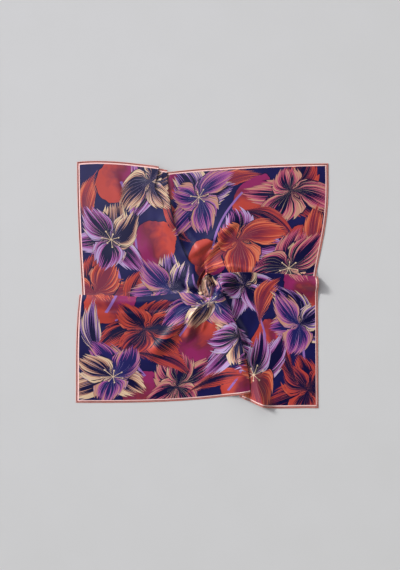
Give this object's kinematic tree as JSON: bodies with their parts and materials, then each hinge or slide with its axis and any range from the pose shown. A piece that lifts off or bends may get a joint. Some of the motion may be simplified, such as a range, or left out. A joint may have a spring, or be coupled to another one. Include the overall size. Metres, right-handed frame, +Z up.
{
  "type": "silk square scarf",
  "caption": "Square printed silk scarf laid flat, twisted at its centre and pleated to each side, with hand-rolled hems.",
  "frame": {"origin": "on the surface that the laid scarf rests on, under the middle of its bounding box", "axes": "+Z up out of the surface, +Y towards the top hem, +X towards the right hem"},
  "size_m": [0.8566, 0.8422, 0.0268],
  "materials": {
    "silk_twill": "satin",
    "rolled_hem": "satin"
  },
  "bodies": {
    "root": {"silk_panel": "silk_twill", "hem_top": "rolled_hem", "hem_right": "rolled_hem", "hem_bottom": "rolled_hem", "hem_left": "rolled_hem"}
  },
  "joints": []
}
